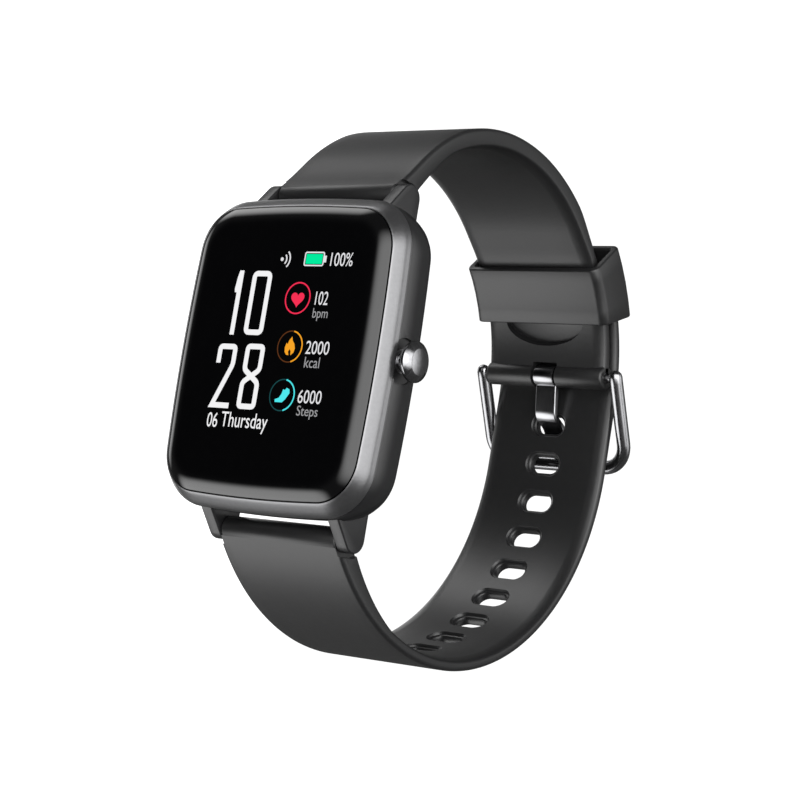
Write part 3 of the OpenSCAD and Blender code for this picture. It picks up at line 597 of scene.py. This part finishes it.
def band(name, start, steps, length, thick, more, fade, mirror, taper=None, crown=0.0):
    """A strap's skin: a flat band with round edges whose inner side swells towards its roll."""
    rings = []
    n = int(length / 0.9)
    for i in range(n + 1):
        s = length * i / n
        p, h = along(start, steps, s)
        swell = more * max(0.0, 1 - s / fade)
        out = outward(h)
        half = STRAP_HALF
        if taper:
            half = taper(s)
        top = thick / 2 + crown * max(0.0, min(1.0, (s - 3) / 12, (51 - s) / 7))
        low, edge = -thick / 2 - swell, 0.6
        section = [(half - edge + edge * math.cos(a), top - edge + edge * math.sin(a))
                   for a in np.linspace(0, math.pi / 2, 6)]
        section += [((half - edge) * f, top) for f in (0.8, 0.4, 0, -0.4, -0.8)]
        section += [(-half + edge - edge * math.sin(a), top - edge + edge * math.cos(a))
                    for a in np.linspace(0, math.pi / 2, 6)]
        lip = [(half, low + 0.7), (half - 0.06, low + 0.52), (half - 0.25, low + 0.36),
               (half - 0.9, low + 0.17), (half - 1.55, low + 0.03), (half - 1.9, low)]
        section += [(-x, z) for x, z in lip]
        section += [((half - 1.9) * f, low) for f in (-0.6, -0.2, 0.2, 0.6)]
        section += lip[::-1]
        ring = [(x, *(p + z * out)) for x, z in section]
        rings.append([(x, (-y if mirror else y), z) for x, y, z in ring])
    return shell(name, rings)


def lug_ends(strap, sign):
    """The roll between the lugs, and the scoops that clear the lugs' tips."""
    y, z = sign * BAR[0], BAR[1]
    roll = rod("roll", [(-9.4, 1.45), (-9.32, 1.62), (-9.15, 1.7), (9.15, 1.7), (9.32, 1.62), (9.4, 1.45)],
               y, z)
    fit(strap, roll, "UNION")
    for sx in (-1, 1):
        for dy, dz, r in ((0.0, 0.0, TIP_R + 0.63), (-0.3, -1.2, TIP_R + 0.83)):
            cut = rod("scoop", [(sx * 9.4, r), (sx * 21, r)], sign * (TIP[0] + dy), TIP[1] + dz, 64)
            fit(strap, cut)
    fit(strap, rod("bore", [(-12, 0.92), (12, 0.92)], y, z, 32))


short_strap = band("short_strap", buckle_start, buckle_steps, buckle_len, SHORT_T, 2 * rise, 12, False,
                   crown=0.7)
lug_ends(short_strap, 1)
fit(short_strap, rod("end_roll", [(-10, 1.4), (-9.9, 1.6), (-9.7, 1.7), (9.7, 1.7), (9.9, 1.6), (10, 1.4)],
                     *buckle_bar), "UNION")
fit(short_strap, rod("bar_bore", [(-12, 0.82), (12, 0.82)], *buckle_bar, 32))


def placed(o, p, h):
    """Stands a tool made about the origin (X across, Y ahead, Z outwards) at a place in the loop."""
    turn = math.radians(h)
    for v in o.data.vertices:
        x, y, z = v.co
        v.co = (x, y * math.cos(turn) - z * math.sin(turn) + p[0] * MM,
                y * math.sin(turn) + z * math.cos(turn) + p[1] * MM)
    return o


def column(name, outline, levels):
    """A column over an outline: (z, grow) pairs, where grow widens the outline."""
    rings = []
    for z, grow in levels:
        rings.append([(x * (1 + grow / max(0.1, math.hypot(x, y))),
                       y * (1 + grow / max(0.1, math.hypot(x, y))), z) for x, y in outline])
    return shell(name, rings)


notch = [(-2.05, -1.9), (2.05, -1.9), (2.05, 4.1), (-2.05, 4.1)]
fit(short_strap, placed(column("notch", notch, [(-4, 0), (4, 0)]), buckle_bar, end_heading))
KEEPER_HEADING = -145.7
dimple_at = arc_centre + SLIDE_R * outward(KEEPER_HEADING)
dimple = [(6.6, -1.5)] + [(6.6 * math.cos(t), 4.3 + 3.3 * math.sin(t))
                          for t in np.linspace(0, math.pi, 40)] + [(-6.6, -1.5)]
fit(short_strap, placed(column("dimple", dimple, [(-3, 0.0), (-0.75, 0.0), (-0.6, -0.3)]), dimple_at,
                        KEEPER_HEADING))

TAIL_TIP_R, TAIL_MIN = 7, 3.2


def tail_half_width(s):
    """Half the long strap's width: full as far as the round end of its tail."""
    into = s - (hole_len - TAIL_TIP_R)
    if into < 0:
        return STRAP_HALF
    return max(TAIL_MIN, STRAP_HALF - TAIL_TIP_R + math.sqrt(max(0.0, TAIL_TIP_R**2 - into**2)))


long_strap = band("long_strap", hole_start, hole_steps, hole_len, LONG_T, 1.7, 16, True, tail_half_width)
lug_ends(long_strap, -1)
tongue_dist = hole_steps[0][0] + FLAT_Y + buckle_bar[0] - TONGUE_DROP
for i in range(HOLES):
    p, h = along(hole_start, hole_steps, tongue_dist - i * HOLE_PITCH)
    slot_hole = [(1.1 + 1.3 * math.cos(t), 1.3 * math.sin(t))
                 for t in np.linspace(-math.pi / 2, math.pi / 2, 13)]
    slot_hole += [(-x, -y) for x, y in slot_hole]
    levels = [(-2, 1.2), (-0.85, 0.62), (-0.7, 0.45), (-0.5, 0.4), (-0.42, 0.12), (-0.25, 0.0), (0.6, 0.0),
              (0.78, 0.06), (0.86, 0.2), (1.5, 0.9)]
    tool = placed(column("hole", slot_hole, levels), p, h)
    for v in tool.data.vertices:
        v.co.y = -v.co.y
    tool.data.flip_normals()
    fit(long_strap, tool)
silicone = plain_finish("silicone", (0.0085, 0.0085, 0.0088), (0.0115, 0.0115, 0.0118), 0.37, 0.05,
                        grain=1500)
finish_piece(short_strap, silicone, "root", "buckle_strap", slot="strap_silicone")
finish_piece(long_strap, silicone, "root", "hole_strap", slot="strap_silicone")

# ---- Keeper ----
# A moulded silicone ring that grips the tail of the strap. It slides by hand.
PLAY, KEEPER_SLACK = 0.15, 0.5
keeper_in = SLIDE_R - SHORT_T / 2 - PLAY
keeper_out = tail_r + LONG_T / 2 + PLAY + KEEPER_SLACK
KEEPER_T, KEEPER_HALF_X, KEEPER_LEN = 1.0, 10.3, 9


def keeper_ring(angle, grow, corner):
    """The ring's section in X and radius at an angle round the bend, grown outwards."""
    hw, r0, r1 = KEEPER_HALF_X + grow, keeper_in - grow, keeper_out + grow
    mid, hr = (r0 + r1) / 2, (r1 - r0) / 2
    points = []
    for cx, cr, a0 in ((1, 1, 0), (-1, 1, 90), (-1, -1, 180), (1, -1, 270)):
        for q in range(7):
            a = math.radians(a0 + 15 * q)
            points.append((cx * (hw - corner) + corner * math.cos(a),
                           mid + cr * (hr - corner) + corner * math.sin(a)))
    return [(x, *(arc_centre + r * outward(angle))) for x, r in points]


half_turn = math.degrees(KEEPER_LEN / 2 / SLIDE_R)
keeper_rings = [keeper_ring(KEEPER_HEADING + half_turn * t, KEEPER_T - dip, 1.25 - dip)
                for t, dip in ((-1, 0.25), (-0.985, 0.1), (-0.95, 0.0), (-0.5, 0), (0, 0), (0.5, 0),
                               (0.95, 0.0), (0.985, 0.1), (1, 0.25))]
keeper_rings += [keeper_ring(KEEPER_HEADING + half_turn * t, dip, 0.5 + dip)
                 for t, dip in ((1, 0.2), (0.97, 0.05), (0.9, 0), (0, 0), (-0.9, 0), (-0.97, 0.05),
                                (-1, 0.2))]
keeper = shell("keeper", keeper_rings, wrap=True)
finish_piece(keeper, silicone, "keeper", "keeper_loop", slot="strap_silicone")

# ---- Buckle ----
# Polished gunmetal: a bent wire frame that hinges on the bar, and a flat tongue curled round the bar.
gunmetal = plain_finish("gunmetal", (0.27, 0.27, 0.278), (0.33, 0.33, 0.34), 0.2, 0.04, 1.0, grain=600,
                        bump=0.000004)
ARM_X, FRAME_LEN, FRAME_T, BEND_R = 11.55, 14.5, 1.9, 3.8
frame_section = [(math.cos(t), 0.95 * math.sin(t)) for t in np.linspace(0, 2 * math.pi, 20, False)]
reach = FRAME_LEN - FRAME_T / 2
route = [((ARM_X, y), 0.0) for y in (-1.15, -1.1, -0.95, -0.65, -0.2, 0.6, 3, 6, reach - BEND_R)]
route += [((ARM_X - BEND_R + BEND_R * math.cos(t), reach - BEND_R + BEND_R * math.sin(t)), math.degrees(t))
          for t in np.linspace(0, math.pi / 2, 12)[1:]]
route += [((x, reach), 90.0) for x in (5, 0)]
route += [((-x, y), 180 - a) for (x, y), a in reversed(route[:-1])]
frame_heading = -180 + 27.8
frame_rings = []
for (x, y), a in route:
    ca, sa = math.cos(math.radians(a)), math.sin(math.radians(a))
    size = math.sqrt(max(0.05, 1 - (min(0, y + 0.2) / 0.97) ** 2))
    frame_rings.append([(x + u * size * ca, y + u * size * sa, w * size) for u, w in frame_section])
wire = placed(shell("frame_wire", frame_rings), buckle_bar, frame_heading)
for sx in (-1, 1):
    fit(wire, rod("eye_bore", [(sx * 10, 0.53), (sx * 12.1, 0.53)], *buckle_bar, 24))
finish_piece(wire, gunmetal, "frame", "buckle_frame", slot="buckle_metal")

tongue_line = [np.array(p) for p in ((1.25, 0.15), (5.85, 1.02), (7.2, 3.75), (10.3, 5.75))]
TONGUE_HALF, TONGUE_T = 1.75, 0.9
line = []
for i in range(4):
    p = tongue_line[i]
    if i in (1, 2):
        u, v = (tongue_line[i] - tongue_line[i - 1]), (tongue_line[i + 1] - tongue_line[i])
        u, v = u / np.linalg.norm(u), v / np.linalg.norm(v)
        for t in np.linspace(0, 1, 7):
            a, c = p - 0.8 * u, p + 0.8 * v
            line.append((1 - t) ** 2 * a + 2 * t * (1 - t) * p + t * t * c)
    else:
        line.append(p)
tongue_rings = []
for i, p in enumerate(line):
    d = line[min(i + 1, len(line) - 1)] - line[max(i - 1, 0)]
    d = d / np.linalg.norm(d)
    n = np.array([-d[1], d[0]])
    tip = i == len(line) - 1
    hw, ht, e = TONGUE_HALF - (0.5 if tip else 0), TONGUE_T / 2 - (0.15 if tip else 0), 0.2
    section = [(cx * (hw - e) + e * math.cos(math.radians(a0 + 30 * q)),
                cz * (ht - e) + e * math.sin(math.radians(a0 + 30 * q)))
               for cx, cz, a0 in ((1, 1, 0), (-1, 1, 90), (-1, -1, 180), (1, -1, 270)) for q in range(4)]
    tongue_rings.append([(x, *(buckle_bar + np.array([-1, -1]) * (p + z * n))) for x, z in section])
prong = shell("prong", tongue_rings)
curl = rod("curl", [(-1.75, 1.4), (-1.68, 1.55), (-1.5, 1.6), (1.5, 1.6), (1.68, 1.55), (1.75, 1.4)],
           *buckle_bar)
fit(prong, curl, "UNION")
fit(prong, rod("curl_bore", [(-3, 0.85), (3, 0.85)], *buckle_bar))
finish_piece(prong, gunmetal, "tongue", "buckle_tongue", slot="buckle_metal")

# ---- Side button ----
# A turned metal cap on a stem, with a flat face and a polished bevel. It runs in a bright collar.
FACE_X = CASE_HALF_W + 2.4
cap = rod("cap", [(13.4, 1.0), (17.6, 1.0), (17.62, 1.75), (17.7, 1.85), (18.34, 1.85), (18.35, 2.3),
                  (18.4, 2.5), (18.5, 2.55), (18.8, 2.55), (18.86, 2.52), (FACE_X - 0.04, 1.66),
                  (FACE_X, 1.6)], BUTTON_Y, BUTTON_Z, 64)
button_metal = plain_finish("button_metal", (0.2, 0.2, 0.205), (0.3, 0.3, 0.31), 0.17, 0.06, 1.0,
                            grain=2500)
finish_piece(cap, button_metal, "button", "side_button", slot="button_metal")
steel = plain_finish("steel", (0.45, 0.45, 0.46), (0.6, 0.6, 0.61), 0.3, 0.1, 1.0)

# ---- Inner pieces, carried over ----
brass = plain_finish("brass", (0.6, 0.42, 0.16), (0.75, 0.55, 0.22), 0.28, 0.08, 1.0)
board = plain_finish("board", (0.01, 0.06, 0.025), (0.015, 0.09, 0.035), 0.3, 0.08)
chip_black = plain_finish("chip_black", (0.02, 0.02, 0.021), (0.03, 0.03, 0.031), 0.45, 0.1)
foil = plain_finish("foil", (0.35, 0.36, 0.4), (0.45, 0.46, 0.5), 0.3, 0.1, 0.7)
tape = plain_finish("tape", (0.5, 0.4, 0.05), (0.6, 0.48, 0.07), 0.5, 0.1)
amber = plain_finish("amber", (0.45, 0.2, 0.03), (0.6, 0.3, 0.05), 0.35, 0.1)
window_gloss = plain_finish("window_gloss", (0.004, 0.004, 0.005), (0.006, 0.006, 0.008), 0.08, 0.02)
led_gel = plain_finish("led_gel", (0.6, 0.62, 0.4), (0.75, 0.78, 0.5), 0.25, 0.08)
seal = plain_finish("seal", (0.02, 0.02, 0.02), (0.03, 0.03, 0.03), 0.6, 0.1)
carried = {
    "glass_adhesive": seal, "display_panel": window_gloss, "display_flex": amber,
    "inner_frame": chip_black, "mainboard": board, "board_chips": chip_black, "shield_can": steel,
    "battery": foil, "battery_tape": tape, "vibration_motor": steel, "antenna_strip": brass,
    "sensor_board": board, "sensor_leds": led_gel, "sensor_window": window_gloss,
    "charging_contacts": brass, "back_cover": case_polymer, "back_gasket": seal,
    "case_screws": steel, "button_bushing": steel, "button_seal": seal, "button_clip": steel,
    "switch_body": chip_black, "switch_plunger": chip_black, "upper_bar_tube": steel,
    "upper_bar_pin": steel, "upper_bar_spring": steel, "lower_bar_tube": steel,
    "lower_bar_pin": steel, "lower_bar_spring": steel, "buckle_bar_tube": steel,
    "buckle_bar_tips": steel,
}
for name, finish in carried.items():
    o = nodes[name]
    o.data.materials.clear()
    o.data.materials.append(finish)
    bpy.ops.object.select_all(action="DESELECT")
    o.select_set(True)
    bpy.context.view_layer.objects.active = o
    bpy.ops.object.shade_smooth_by_angle(angle=math.radians(35))
